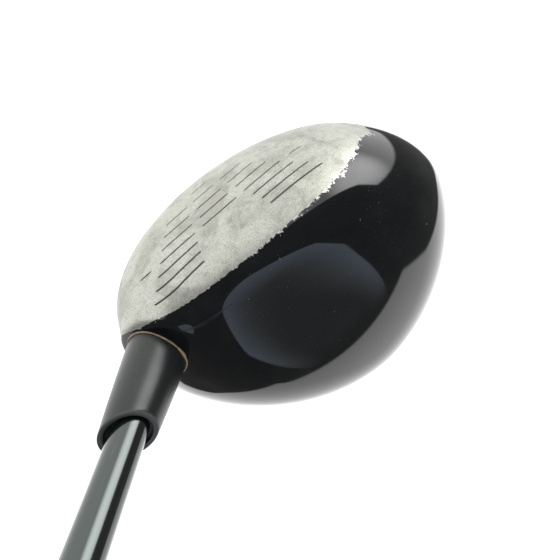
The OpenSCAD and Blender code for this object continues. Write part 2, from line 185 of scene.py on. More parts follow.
# %% [markdown]
# The shells meet at two seams, one round the crown and one round the sole. At the front they follow the edge of
# the face plate, and behind it they settle at a constant height. The heights use the CAD model's own rules,
# so each fine shell here covers the same ground as its CAD node.

# %% Seams between the shells
toe_angle, heel_angle = -90 - 62.5, -90 + 64.0
EASE_ANGLE, LEAST_AHEAD = 34, 0.55
UPPER_SEAM = dict(front=HEAD["height"] + 4.4, toe_bend=11.3, heel_bend=10.4, back=33.0)
LOWER_SEAM = dict(front=5.0, toe_bend=-5.0, heel_bend=-5.0, back=13.0)

def face_share(angle):
    a = (angle + 180) % 360 - 180
    ends = (heel_angle, heel_angle - 360, toe_angle, toe_angle + 360)
    gap = np.minimum.reduce([np.abs(a - end) for end in ends])
    t = np.clip(gap / EASE_ANGLE, 0, 1)
    return np.where((a >= toe_angle) & (a <= heel_angle), 1.0, 1 - t * t * (3 - 2 * t))

def seam_rays(angle, seam):
    flat = np.stack([np.cos(np.radians(angle)), np.sin(np.radians(angle)), 0 * angle], -1)
    reach = on_skin(flat * HEAD["toe"])
    across = flat[:, 0] / np.maximum(np.abs(flat[:, 1]), LEAST_AHEAD)
    bend = np.where(across > 0, seam["heel_bend"], seam["toe_bend"])
    height = seam["back"] + (seam["front"] - bend * across ** 2 - seam["back"]) * face_share(angle)
    rays = reach - CORE
    rays[:, 2] = height - CORE[2]
    return rays

front_angles = np.linspace(toe_angle, heel_angle, 253)
back_angles = np.linspace(heel_angle, toe_angle + 360, 261)
round_angles = np.concatenate([front_angles[:-1], back_angles[:-1]])
print("face plate from", round(toe_angle, 1), "to", round(heel_angle, 1), "degrees")

# %% [markdown]
# ## From grids of points to shells
# Each shell is a grid of skin points, joined in squares, with a short lip turned inwards along its open edges, so
# that a seam shows metal and not a paper edge. A solidify modifier would do it too, but it moves the skin by its
# own normals, while these lips follow the same level as the CAD walls.

# %% Make a mesh and keep exact normals
def grid_faces(columns, rows, closed=False):
    quads = []
    for i in range(columns if closed else columns - 1):
        j = (i + 1) % columns
        quads += [(i * rows + k, i * rows + k + 1, j * rows + k + 1, j * rows + k) for k in range(rows - 1)]
    return quads

def add_mesh(name, points_mm, faces, normals=None, **values):
    mesh = bpy.data.meshes.new(name)
    mesh.from_pydata((np.asarray(points_mm).reshape(-1, 3) / 1000).tolist(), [], faces)
    mesh.polygons.foreach_set("use_smooth", [True] * len(mesh.polygons))
    for label, numbers in values.items():
        stored = mesh.attributes.new(label, "FLOAT", "POINT")
        stored.data.foreach_set("value", np.asarray(numbers, np.float32).ravel())
    mesh.validate()
    if normals is not None:
        mine = np.array([f.normal for f in mesh.polygons])
        corner = np.asarray(normals).reshape(-1, 3)[[f.vertices[0] for f in mesh.polygons]]
        if (mine * corner).sum() < 0:
            mesh.flip_normals()
        mesh.normals_split_custom_set_from_vertices(np.asarray(normals).reshape(-1, 3).tolist())
    made = bpy.data.objects.new(name, mesh)
    bpy.context.scene.collection.objects.link(made)
    print(name, len(mesh.vertices), "points", len(mesh.polygons), "faces")
    return made

def finish_piece(piece, nodes, slot, material):
    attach(piece, "root")
    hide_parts(*nodes)
    piece.data.materials.append(material)
    return piece

print("mesh helpers ready")

# %% [markdown]
# ## Words for finishes
# Shader maths reads best as sums, so one small class wraps a socket and gives it plus, minus, times and the rest.
# Every other node comes from one method that takes its type, its settings and what goes into its sockets.

# %% A socket that can be added and multiplied
class Flow:
    def __init__(self, bench, socket):
        self.bench, self.socket = bench, socket
    def sum(self, operation, *terms):
        return self.bench.node("ShaderNodeMath", {"operation": operation}, *terms)
    def __add__(self, other): return self.sum("ADD", self, other)
    def __radd__(self, other): return self.sum("ADD", other, self)
    def __sub__(self, other): return self.sum("SUBTRACT", self, other)
    def __rsub__(self, other): return self.sum("SUBTRACT", other, self)
    def __mul__(self, other): return self.sum("MULTIPLY", self, other)
    def __rmul__(self, other): return self.sum("MULTIPLY", other, self)
    def __truediv__(self, other): return self.sum("DIVIDE", self, other)
    def least(self, other): return self.sum("MINIMUM", self, other)
    def most(self, other): return self.sum("MAXIMUM", self, other)
    def out(self, name): return Flow(self.bench, self.socket.node.outputs[name])
    def rise(self, start, end):
        return self.bench.node("ShaderNodeMapRange", {"interpolation_type": "SMOOTHSTEP"},
                               self, start, end, 0.0, 1.0)

print("Flow ready")

# %% A bench that makes nodes
class Bench:
    def __init__(self, owner):
        owner.use_nodes = True
        self.owner, self.tree = owner, owner.node_tree
        self.tree.nodes.clear()
    def node(self, kind, settings=None, *inputs, **named):
        made = self.tree.nodes.new(kind)
        for key, value in (settings or {}).items():
            setattr(made, key, value)
        sockets = [*enumerate(inputs), *((k.replace("_", " "), v) for k, v in named.items())]
        for key, value in sockets:
            if isinstance(value, Flow):
                self.tree.links.new(value.socket, made.inputs[key])
            elif value is not None:
                colour = np.ndim(value) and made.inputs[key].type == "RGBA"
                made.inputs[key].default_value = (*value, 1) if colour else value
        return Flow(self, next(o for o in made.outputs if o.enabled)) if made.outputs else made
    def mix(self, a, b, share):
        made = self.tree.nodes.new("ShaderNodeMix")
        made.data_type = "RGBA"
        for index, value in ((0, share), (6, a), (7, b)):
            if isinstance(value, Flow):
                self.tree.links.new(value.socket, made.inputs[index])
            else:
                made.inputs[index].default_value = (*value, 1) if index else value
        return Flow(self, made.outputs[2])
    def place(self):
        return self.node("ShaderNodeTexCoord").out("Object")
    def stretch(self, vector, scale):
        return self.node("ShaderNodeVectorMath", {"operation": "MULTIPLY"}, vector, scale)
    def noise(self, vector, scale, detail=3.0, roughness=0.55, warp=0.0):
        return self.node("ShaderNodeTexNoise", {}, Vector=vector, Scale=scale, Detail=detail,
                         Roughness=roughness, Distortion=warp)
    def stored(self, label):
        return self.node("ShaderNodeAttribute", {"attribute_name": label}).out("Fac")
    def bump(self, height, depth, strength):
        return self.node("ShaderNodeBump", {}, Strength=strength, Distance=depth, Height=height)
    def principled(self, **named):
        return self.node("ShaderNodeBsdfPrincipled", {}, **named)
    def show(self, shader):
        self.node("ShaderNodeOutputMaterial", {}, Surface=shader)
        return self.owner

def bench(name):
    return Bench(bpy.data.materials.new(name))

print("Bench ready")

# %% [markdown]
# ## Blasted titanium for the face
# The real face is titanium, blasted with fine beads and then worn by balls: a pale grey with no sharp mirror,
# cloudy marks a few millimetres wide, fine scratches and dirt in the grooves. A photograph could be projected on
# it, but noise at three sizes gives the same cloudiness from every side.

# %% Face metal
def face_metal():
    b = bench("blasted_titanium")
    spot = b.place()
    clouds = b.noise(spot, 90.0, 4.0, 0.6, 0.8)
    marks = b.noise(spot, 420.0, 3.0, 0.6, 0.3)
    grain = b.noise(spot, 3600.0, 2.0, 0.7)
    scratch = b.noise(b.stretch(spot, (500.0, 4200.0, 2600.0)), 1.0, 2.0, 0.6, 0.2)
    dirt = b.stored("groove")
    worn = clouds.rise(0.42, 0.62) * 0.5 + marks.rise(0.48, 0.7) * 0.4
    pale = b.mix((0.475, 0.48, 0.425), (0.31, 0.31, 0.275), worn)
    speckled = b.mix(pale, (0.15, 0.15, 0.135), (grain.rise(0.46, 0.68) * 0.6).least(1.0))
    bright = b.mix(speckled, (0.7, 0.7, 0.66), scratch.rise(0.6, 0.72) * 0.35)
    scored = b.mix(bright, (0.085, 0.08, 0.07), dirt.rise(0.1, 0.6) * 0.85)
    height = grain * 0.6 + marks * 0.35 + scratch * 0.3
    return b.show(b.principled(Base_Color=scored, Metallic=1.0 - dirt * 0.35,
        Roughness=(0.34 + grain * 0.14 + worn * 0.12 + dirt * 0.2).least(0.9),
        Normal=b.bump(height, 0.00009, 0.7)))

blasted_titanium = face_metal()
print("made", blasted_titanium.name)

# %% [markdown]
# ## Gloss black paint for the crown
# The crown is sprayed gloss black over primer. Its look is almost all mirror: dark paint under a clear skin, with
# dust, hairline swirls and a few pale knocks. Along the edge of the face, where balls and other clubs hit it, the
# paint has chipped off and bare metal shows, more on the toe half. Each point stores how far it is from that edge,
# and noise decides how far each chip bites.

# %% Crown paint
def crown_paint():
    b = bench("gloss_black_paint")
    spot = b.place()
    edge = b.stored("edge_gap")
    side = b.stored("toe_share")
    bites = b.noise(spot, 760.0, 4.0, 0.7, 0.6)
    crumbs = b.noise(spot, 2600.0, 2.0, 0.6)
    reach = (bites - 0.5) * (2.0 + side * 6.5) + (crumbs - 0.5) * 0.8 + 0.12
    chipped = (reach - edge).rise(-0.03, 0.06) * (3.0 - edge).rise(0.0, 0.6)
    dust = b.noise(spot, 2400.0, 1.0, 0.5).rise(0.735, 0.78) * b.noise(spot, 55.0, 2.0).rise(0.4, 0.62)
    knocks = b.node("ShaderNodeTexVoronoi", {}, Vector=spot, Scale=150.0, Randomness=1.0)
    knock = (0.055 - knocks + (crumbs - 0.5) * 0.12).rise(0.0, 0.02) * b.noise(spot, 38.0, 2.0).rise(0.5, 0.6)
    swirl = b.noise(b.stretch(spot, (260.0, 1900.0, 1900.0)), 1.0, 3.0, 0.6, 2.0)
    colour = b.mix((0.0045, 0.005, 0.0055), (0.32, 0.34, 0.35), (dust * 0.22 + knock * 0.45).least(1.0))
    metal = b.mix(colour, (0.6, 0.58, 0.55), chipped)
    film = (1.0 - chipped) * 0.12 + b.noise(spot, 900.0, 3.0, 0.6) * 0.02
    return b.show(b.principled(Base_Color=metal, Metallic=chipped * 0.9,
        Roughness=(0.045 + swirl.rise(0.55, 0.8) * 0.05 + dust * 0.3 + knock * 0.3 + chipped * 0.35).least(1.0),
        Specular_IOR_Level=0.5, Normal=b.bump(film, 0.00012, 0.35)))

gloss_black_paint = crown_paint()
print("made", gloss_black_paint.name)

# %% [markdown]
# ## Brushed titanium for the sole
# The sole is brushed from heel to toe and has slid over turf, so its lines are long and its scratches run from
# front to back. Stretching a noise along one axis gives brushing without any image.

# %% Sole metal
def sole_metal(name, tone, roughness):
    b = bench(name)
    spot = b.place()
    brushing = b.noise(b.stretch(spot, (60.0, 2600.0, 2600.0)), 1.0, 3.0, 0.7)
    scuffs = b.noise(b.stretch(spot, (1500.0, 90.0, 300.0)), 1.0, 3.0, 0.6, 0.6)
    clouds = b.noise(spot, 55.0, 3.0, 0.6)
    worn = scuffs.rise(0.6, 0.7) * clouds.rise(0.42, 0.6)
    pale = b.mix(tone, tuple(0.7 * c for c in tone), brushing.rise(0.35, 0.7) * 0.55)
    colour = b.mix(pale, (0.34, 0.33, 0.31), worn * 0.6)
    return b.show(b.principled(Base_Color=colour, Metallic=1.0, Roughness=roughness + brushing * 0.12 + worn * 0.2,
        Normal=b.bump(brushing * 0.5 - worn * 0.6, 0.00005, 0.5)))

satin_titanium = sole_metal("satin_titanium", (0.58, 0.57, 0.55), 0.27)
plate_titanium = sole_metal("sole_plate_titanium", (0.46, 0.455, 0.45), 0.2)
print("made", satin_titanium.name, plate_titanium.name)

# %% [markdown]
# ## The head's shells
# The face plate carries the scorelines as real grooves: the skin sinks by 0.3 mm across each line. The lines stand
# in three groups that widen towards the crown, with a blank window in the middle where the ball is struck. They
# could be a bump map, but then they would vanish at a low angle, so the grid is fine enough to hold them.

# %% Scoreline rule
SCORE = dict(middle=3.1, first=22.2, pitch=4.5, closing=0.135, bow=100.0, depth=0.3, width=0.34)
groups = [(-2.4 - 0.75 * n, 2.4 + 0.75 * n, n) for n in range(5)]
for n in range(1, 8):
    groups += [(5.1 + 0.82 * n, 10.4 + 2.4 * n, n), (-10.4 - 2.4 * n, -5.1 - 0.82 * n, n)]
groups += [(23.5, 26.9, 4), (-26.9, -23.5, 4)]

def groove_share(p):
    off, share = p[..., 0] - SCORE["middle"], np.zeros(p.shape[:-1])
    for start, end, n in groups:
        height = (SCORE["first"] + SCORE["pitch"] * n - SCORE["closing"] * n * (n - 1)
                  - off ** 2 / (2 * SCORE["bow"]))
        away = np.hypot(np.maximum(np.maximum(start - off, off - end), 0), p[..., 2] - height)
        share = np.maximum(share, np.clip(1.35 - away / (SCORE["width"] / 2), 0, 1))
    return share

print(len(groups), "scorelines")

# %% Face plate with its grooves
low, high = seam_rays(front_angles, LOWER_SEAM), seam_rays(front_angles, UPPER_SEAM)
rows = np.linspace(0, 1, 331)
face_rays = low[:, None] + (high - low)[:, None] * rows[None, :, None]
face_skin = on_skin(face_rays)
groove = groove_share(face_skin)
smooth = skin_normals(face_skin)
face_points = face_skin - smooth * (groove * SCORE["depth"])[..., None]
across_x, up_z = np.gradient(face_points, axis=0), np.gradient(face_points, axis=1)
turned = np.cross(across_x, up_z)
turned /= np.linalg.norm(turned, axis=-1, keepdims=True)
turned *= np.sign((turned * smooth).sum(-1, keepdims=True))
face_plate = add_mesh("face_plate_fine", face_points, grid_faces(*face_points.shape[:2]), turned, groove=groove)
finish_piece(face_plate, ["face_plate"], "face_metal", blasted_titanium)
print("deepest groove", round(float(groove.max() * SCORE["depth"]), 2), "mm")

# %% [markdown]
# The crown is a lid: rings of points from its top to its seam. Where its edge meets the face the paint ends, so
# each point stores its distance from that edge and how far it lies towards the toe, for the chips in the paint.

# %% Crown, skirt, sole and sole plate
def lid(name, seam, pole_z, shares, nodes, slot, material, lips, **stored):
    pole = np.array([0, 0, pole_z]) - CORE
    edge = seam_rays(round_angles, seam)
    rays = pole + (edge - pole)[:, None] * shares[None, :, None]
    skin = on_skin(rays)
    points = np.concatenate([skin] + [on_skin(rays[:, [at]], depth) for at, depth in lips], 1)
    normals = skin_normals(np.concatenate([skin] + [skin[:, [at]] for at, _ in lips], 1))
    faces = grid_faces(*skin.shape[:2], closed=True)
    count, total = skin.shape[1], points.shape[1]
    faces = [tuple((v // count) * total + v % count for v in f) for f in faces]
    for extra, (at, _) in enumerate(lips):
        ring = at % count
        for i in range(len(edge)):
            j = (i + 1) % len(edge)
            here, there = i * total, j * total
            lip = count + extra
            faces.append((here + ring, here + lip, there + lip, there + ring))
    values = {label: rule(points) for label, rule in stored.items()}
    piece = add_mesh(name, points, faces, normals, **values)
    return finish_piece(piece, nodes, slot, material)

front_edge = on_skin(seam_rays(front_angles, UPPER_SEAM))
def edge_gap(points):
    flat, gap = points.reshape(-1, 3), []
    for part in np.array_split(flat, 40):
        gap.append(np.linalg.norm(part[:, None] - front_edge[None], axis=-1).min(1))
    return np.concatenate(gap)
toe_share = lambda points: np.clip((14 - points.reshape(-1, 3)[:, 0]) / 34, 0.05, 1)
POLE_SHARE, PLATE_SHARE, PLATE_GAP = 0.0005, 0.56, 0.008
crown_shares = np.concatenate([[POLE_SHARE], np.sin(np.linspace(0.02, 1, 90) * math.pi / 2)])
crown = lid("crown_fine", UPPER_SEAM, HEAD["height"], crown_shares, ["crown_shell"], "crown_paint",
            gloss_black_paint, [(-1, 0.8)], edge_gap=edge_gap, toe_share=toe_share)
sole = lid("sole_fine", LOWER_SEAM, 0.0, np.linspace(PLATE_SHARE + PLATE_GAP, 1, 40), ["sole_shell"],
           "sole_metal", satin_titanium, [(0, 0.7), (-1, 0.8)])
plate_shares = np.concatenate([[POLE_SHARE], np.linspace(0.02, PLATE_SHARE, 36)])
plate = lid("sole_plate_fine", LOWER_SEAM, 0.0, plate_shares, ["sole_plate"], "sole_metal",
            plate_titanium, [(-1, 0.6)])
low, high = seam_rays(back_angles, LOWER_SEAM), seam_rays(back_angles, UPPER_SEAM)
skirt_rays = low[:, None] + (high - low)[:, None] * np.linspace(0, 1, 44)[None, :, None]
skirt_points = on_skin(skirt_rays)
skirt = add_mesh("skirt_fine", skirt_points, grid_faces(*skirt_points.shape[:2]), skin_normals(skirt_points),
                 edge_gap=np.full(skirt_points.shape[:2], 9.0), toe_share=np.zeros(skirt_points.shape[:2]))
finish_piece(skirt, ["skirt_band"], "crown_paint", gloss_black_paint)
shells = dict(face_plate=face_plate, crown_shell=crown, skirt_band=skirt, sole_shell=sole)
for node, piece in shells.items():
    mine = np.array([v.co for v in piece.data.vertices])
    apart = np.r_[mine.min(0), mine.max(0)] - np.concatenate(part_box(node))
    print(node, "differs from its CAD box by", np.round(apart * 1000, 2), "mm")

# %% [markdown]
# ## Round pieces on the shaft's line
# The ferrule, shaft and grip are turned like work on a lathe: a profile of radius and height, spun round the
# shaft's line. A screw modifier would spin it too, but a function can also tilt a cut or roughen a bead.

# %% A small lathe
def on_line(radius, along, turn):
    flat = radius[..., None] * (np.cos(turn)[..., None] * side_axis
                                + np.sin(turn)[..., None] * np.array([0.0, 1.0, 0.0]))
    return foot + flat + along[..., None] * way

def lathe(name, profile, segments, change=None, **stored):
    turns = np.linspace(0, 2 * math.pi, segments, endpoint=False)
    radius = np.repeat(np.array([p[0] for p in profile], float)[None], segments, 0)
    along = np.repeat(np.array([p[1] for p in profile], float)[None], segments, 0)
    turn = np.repeat(turns[:, None], len(profile), 1)
    if change:
        radius, along = change(radius, along, turn)
    faces = [f[::-1] for f in grid_faces(segments, len(profile), closed=True)]
    values = {label: rule(radius, along, turn) for label, rule in stored.items()}
    return add_mesh(name, on_line(radius, along, turn), faces, **values)

print("shaft line from", np.round(foot, 2), "along", np.round(way, 4),
      "ferrule spans", np.round(span("ferrule"), 2))

# %% [markdown]
# ## Black plastic, glue and shaft paint
# The ferrule is a satin black plastic collar, scuffed pale on its sides by bag and hands. The shaft is a grey
# metallic paint over fine lengthwise flakes, under lacquer. The glue is a brown resin that squeezed out and
# gathered dust.

# %% Ferrule plastic
def ferrule_plastic():
    b = bench("worn_black_plastic")
    spot = b.place()
    wear = b.noise(spot, 130.0, 4.0, 0.7, 0.5)
    rubs = b.noise(b.stretch(spot, (900.0, 900.0, 240.0)), 1.0, 4.0, 0.7, 0.8)
    pits = b.noise(spot, 2600.0, 2.0, 0.6)
    scuff = rubs.rise(0.6, 0.72) * wear.rise(0.5, 0.66)
    specks = pits.rise(0.72, 0.78) * wear.rise(0.42, 0.6)
    # The rim attribute paints the plastic paler along the cut rim, a painted highlight, added to the real scuffs
    # and specks.
    rim = b.stored("rim")
    worn = (scuff * 0.6 + specks * 0.5 + rim * 0.35).least(1.0)
    colour = b.mix((0.012, 0.014, 0.0135), (0.2, 0.2, 0.19), worn)
    return b.show(b.principled(Base_Color=colour, Roughness=(0.24 + wear * 0.16 + scuff * 0.3).least(0.9),
        Normal=b.bump(pits * 0.3 - scuff * 0.5 + wear * 0.4, 0.00006, 0.5)))

worn_black_plastic = ferrule_plastic()

def plain_grain(name, light, dark, scale, roughness, depth, metallic=0.0,
                stretch=(1.0, 1.0, 1.0), cloud=60.0):
    b = bench(name)
    spot = b.stretch(b.place(), stretch)
    grain, clouds = b.noise(spot, scale, 4.0, 0.65), b.noise(spot, cloud, 3.0, 0.6, 0.4)
    share = grain.rise(0.35, 0.68) * 0.6 + clouds.rise(0.4, 0.65) * 0.4
    return b.show(b.principled(Base_Color=b.mix(light, dark, share), Metallic=metallic,
        Roughness=(roughness + (grain - 0.5) * 0.25).least(1.0),
        Normal=b.bump(grain * 0.7 + clouds * 0.3, depth, 0.6)))

brown_glue = plain_grain("brown_epoxy", (0.42, 0.3, 0.16), (0.2, 0.12, 0.06), 900.0, 0.45, 0.0001)
print("made", worn_black_plastic.name, brown_glue.name)

# %% Shaft paint
def shaft_paint():
    b = bench("grey_metallic_shaft")
    spot = b.place()
    run = b.node("ShaderNodeVectorRotate", {"rotation_type": "Y_AXIS"},
                 Vector=spot, Angle=-math.atan2(way[0], way[2]))
    flakes = b.noise(spot, 9000.0, 1.0, 0.5)
    lines = b.noise(b.stretch(run, (2200.0, 2200.0, 26.0)), 1.0, 3.0, 0.6)
    rubs = b.noise(b.stretch(run, (420.0, 420.0, 90.0)), 1.0, 4.0, 0.7, 0.5).rise(0.62, 0.74)
    streaks = lines.rise(0.35, 0.65) * 0.4 + flakes.rise(0.55, 0.8) * 0.3
    colour = b.mix((0.062, 0.073, 0.068), (0.046, 0.055, 0.05), streaks)
    return b.show(b.principled(Base_Color=b.mix(colour, (0.2, 0.22, 0.21), rubs * 0.25), Metallic=0.9,
        Roughness=0.13 + lines * 0.04 + rubs * 0.08, Coat_Weight=0.6, Coat_Roughness=0.05,
        Normal=b.bump(lines * 0.3 + flakes * 0.3, 0.00001, 0.3)))

grey_metallic = shaft_paint()
print("made", grey_metallic.name)

# %% [markdown]
# The ferrule's open end is cut at a slant and has a small counterbore round the shaft. Its edges are eased, which
# is what catches the light as a thin bright line, and the plastic along the cut rim is also painted paler there as
# a painted highlight.

# %% Ferrule
foot_at = span("ferrule")[0]
FERRULE = dict(foot=NECK["radius"], end=5.85, length=25.0, slant=math.tan(math.radians(27)),
               turn=math.radians(-5), lip=0.75, recess=1.3)
full = FERRULE["length"] + FERRULE["end"]
def ferrule_radius(height):
    t = height / full
    return FERRULE["foot"] + (FERRULE["end"] - FERRULE["foot"]) * t + 0.15 * np.sin(math.pi * t)
cut_r = float(ferrule_radius(FERRULE["length"]))
bore_r = FERRULE["end"] - FERRULE["lip"]
wall = [(float(ferrule_radius(FERRULE["length"] * t)), FERRULE["length"] * t) for t in np.linspace(0, 0.98, 60)]
L = FERRULE["length"]
edge = [(cut_r, L - 0.34), (cut_r - 0.03, L - 0.18), (cut_r - 0.1, L - 0.06), (cut_r - 0.22, L),
        (bore_r + 0.16, L), (bore_r + 0.05, L - 0.05), (bore_r, L - 0.16), (bore_r, L - 0.7),
        (bore_r - 0.05, L - 1.25), (bore_r - 0.2, L - 1.3), (4.15, L - 1.3)]
def slant_cut(radius, along, turn):
    share = np.clip(along / L, 0, 1)
    return radius, foot_at + along + share * FERRULE["slant"] * radius * np.cos(turn - FERRULE["turn"])
# Share of the painted highlight along the cut rim, strongest on the eased outer edge and end face.
def rim_highlight_share(radius, along, turn):
    place = np.arange(radius.shape[1]) - len(wall)
    return np.repeat(np.exp(-((place - 2.5) / 2.2) ** 2)[None], radius.shape[0], 0)
ferrule = lathe("ferrule_fine", wall + edge, 160, slant_cut, rim=rim_highlight_share)
finish_piece(ferrule, ["ferrule"], "ferrule_plastic", worn_black_plastic)
print("ferrule cut radius", round(cut_r, 2), "mm")

# %% [markdown]
# Where the collar meets the crown a bead of glue squeezed out. Round the collar it follows whichever is higher,
# the collar's foot or the crown's skin, and its thickness wanders, with a few lumps.

# %% Glue bead
turns = np.linspace(0, 2 * math.pi, 180, endpoint=False)
def skin_height(radius):
    low, high = np.full(turns.shape, foot_at - 14), np.full(turns.shape, foot_at + 14)
    for _ in range(30):
        middle = (low + high) / 2
        inside = head_level(on_line(np.full(turns.shape, radius), middle, turns)) < 0
        low, high = np.where(inside, middle, low), np.where(inside, high, middle)
    return low

def wander(turn, seed, waves=9):
    dice = np.random.default_rng(seed)
    return sum(dice.uniform(-1, 1) * np.cos(k * turn + dice.uniform(0, 6.28)) / math.sqrt(k)
               for k in range(1, waves)) / 2.2

skin_at = skin_height(FERRULE["foot"])
bead_at = np.maximum(foot_at - 0.1, skin_at)
fat = 0.3 + 0.16 * wander(turns, 4, 14) ** 2 + 0.07 * wander(turns, 7, 30)
ring = np.linspace(0, 2 * math.pi, 12, endpoint=False)
bead_r = FERRULE["foot"] + 0.06 + fat[:, None] * 0.75 * np.cos(ring)
bead_s = bead_at[:, None] + fat[:, None] * 1.1 * np.sin(ring)
bead_points = on_line(bead_r, bead_s, np.repeat(turns[:, None], 12, 1))
bead_faces = []
for i in range(180):
    here, there = i * 12, (i + 1) % 180 * 12
    bead_faces += [(here + k, here + (k + 1) % 12, there + (k + 1) % 12, there + k) for k in range(12)]
bead = add_mesh("glue_bead", bead_points, bead_faces)
finish_piece(bead, ["ferrule_glue_ring"], "glue", brown_glue)
print("crown skin meets the collar between", round(float(skin_at.min() - foot_at), 2),
      "and", round(float(skin_at.max() - foot_at), 2), "mm of its foot")

# %% [markdown]
# ## Shaft
# A tapered tube: straight at the tip, then widening to the butt under the grip. Only its tip shows in close-up,
# but the whole of it is turned, because the club is seen from far away too.

# %% Shaft
tip_at, butt_at = span("shaft")
mouth_at = span("grip_sleeve")[0]
SHAFT = dict(tip=4.2, butt=7.62, straight=75.0, wall=1.3)
taper = np.linspace(tip_at + SHAFT["straight"], mouth_at - 10, 90)
profile = [(SHAFT["tip"] - SHAFT["wall"], tip_at), (SHAFT["tip"] - 0.2, tip_at), (SHAFT["tip"], tip_at + 0.3)]
profile += [(SHAFT["tip"], tip_at + SHAFT["straight"] * k / 12) for k in range(1, 12)]
profile += [(float(np.interp(s, [taper[0], taper[-1]], [SHAFT["tip"], SHAFT["butt"]])), float(s)) for s in taper]
profile += [(SHAFT["butt"], butt_at), (SHAFT["butt"] - SHAFT["wall"], butt_at)]
shaft = lathe("shaft_fine", profile, 96)
finish_piece(shaft, ["shaft"], "shaft_paint", grey_metallic)
print("shaft from", round(tip_at, 1), "to", round(butt_at, 1), "mm along its line")

# %% [markdown]
# ## Grip
# The grip is moulded rubber: a collar at its mouth, a field of fine crossed grooves for the fingers, plain bands
# between the fields, and a cap with a vent hole that lets air out as the grip slides on. The grooves are cut into
# the mesh, because they show at the grip's outline. The rubber is painted darker in the grooves and in the cap's
# rings and vent, as painted shade.

# %% Grip rubber
def grip_rubber():
    b = bench("moulded_grip_rubber")
    spot = b.place()
    bloom = b.noise(spot, 40.0, 4.0, 0.6, 0.3)
    grain = b.noise(spot, 2400.0, 2.0, 0.6)
    sunk = b.stored("sunk")
    colour = b.mix((0.022, 0.022, 0.023), (0.05, 0.05, 0.049), bloom.rise(0.4, 0.7) * 0.7)
    # The groove mask darkens the rubber in the pressed grooves and the cap's hollows: painted shade, not a
    # different rubber.
    return b.show(b.principled(Base_Color=b.mix(colour, (0.008, 0.008, 0.008), sunk * 0.8),
        Roughness=(0.55 + grain * 0.2 - bloom * 0.08).least(1.0), Normal=b.bump(grain, 0.00008, 0.6)))

moulded_rubber = grip_rubber()
print("made", moulded_rubber.name)

# %% Grip sleeve and cap
mouth_at, sleeve_end = span("grip_sleeve")
GRIP = dict(mouth=8.8, butt=13.0, tape=7.92, depth=0.28)
def grip_radius(t):
    return GRIP["mouth"] + (GRIP["butt"] - GRIP["mouth"]) * t ** 1.3

length = sleeve_end - mouth_at
steps = np.concatenate([np.linspace(0, 1, 10) * 0.02, np.linspace(0.022, 0.985, 560), np.linspace(0.988, 1, 8)])
sleeve_profile = [(GRIP["tape"], mouth_at), (GRIP["mouth"] - 0.35, mouth_at)]
sleeve_profile += [(float(grip_radius(t)), mouth_at + length * t) for t in steps[1:]]
sleeve_profile += [(GRIP["tape"], sleeve_end)]
def field(along):
    t = (along - mouth_at) / length
    inside = [(t - 0.06) / 0.004, (0.955 - t) / 0.004]
    bands = [np.abs(t - at) / 0.004 - 1.6 for at in (0.36, 0.66)]
    return np.clip(np.minimum.reduce(inside + bands), 0, 1)
def pressed(along, turn):
    rise = 2 * math.pi * (along - mouth_at) / 9.0
    lines = [np.clip(1 - np.abs(np.mod(14 * turn + s * rise, 2 * math.pi) - math.pi) / 0.55, 0, 1)
             for s in (-1, 1)]
    return np.maximum(*lines) * field(along)
def emboss(radius, along, turn):
    body = (radius > GRIP["tape"] + 0.5)
    return radius - body * GRIP["depth"] * pressed(along, turn), along
sleeve = lathe("grip_sleeve_fine", sleeve_profile, 224, emboss, sunk=lambda r, s, a: pressed(s, a))
finish_piece(sleeve, ["grip_sleeve"], "grip_rubber", moulded_rubber)
cap_at, cap_end = span("grip_cap")
CAP = dict(radius=14.0, vent=1.6, edge=1.6)
bend = np.linspace(0, math.pi / 2, 10)
cap_profile = [(CAP["vent"], cap_at), (CAP["radius"] - 0.8, cap_at),
               (CAP["radius"] - 0.25, cap_at + 0.25), (CAP["radius"], cap_at + 0.8)]
cap_profile += [(CAP["radius"] - CAP["edge"] * (1 - math.cos(a)), cap_end - CAP["edge"] * (1 - math.sin(a)))
                for a in bend]
for ring_r in (10.6, 8.4, 6.2):
    cap_profile += [(ring_r + 0.5, cap_end), (ring_r + 0.25, cap_end - 0.22),
                    (ring_r - 0.25, cap_end - 0.22), (ring_r - 0.5, cap_end)]
cap_profile += [(2.6, cap_end), (CAP["vent"] + 0.2, cap_end - 0.1),
                (CAP["vent"], cap_end - 0.4), (CAP["vent"], cap_at)]
# The cap's ring grooves, vent and underside are marked for the same painted shade.
cap = lathe("grip_cap_fine", cap_profile, 128, sunk=lambda r, s, a: 1.0 * ((s < cap_end - 0.15) & (r < 11.5)))
finish_piece(cap, ["grip_cap"], "grip_rubber", moulded_rubber)
print("grip", round(length, 1), "mm long")

# %% [markdown]
# ## Finishes for what is inside
# The pieces inside the head and shaft never show, but a cut-open view should read: cast titanium for the welded
# parts, brass for the tip weight, cork above it, amber glue and a puddle of hot melt that quiets the head.

# %% Inner pieces
cast_titanium = plain_grain("cast_titanium", (0.42, 0.41, 0.39), (0.26, 0.25, 0.24),
                            1500.0, 0.5, 0.0001, metallic=1.0)
amber_glue = plain_grain("amber_epoxy", (0.5, 0.36, 0.15), (0.36, 0.24, 0.1), 500.0, 0.3, 0.00005)
hot_melt = plain_grain("hot_melt", (0.62, 0.56, 0.38), (0.45, 0.38, 0.22), 260.0, 0.35, 0.0003)
brass = plain_grain("turned_brass", (0.72, 0.52, 0.24), (0.5, 0.35, 0.16),
                    1.0, 0.3, 0.00003, 1.0, (300.0, 300.0, 4000.0), 1.0)
cork = plain_grain("cork", (0.55, 0.38, 0.22), (0.22, 0.13, 0.07), 1300.0, 0.85, 0.0003, cloud=400.0)
tube_enamel = plain_grain("tube_enamel", (0.006, 0.0065, 0.007), (0.004, 0.004, 0.0045), 900.0, 0.14, 0.00002)
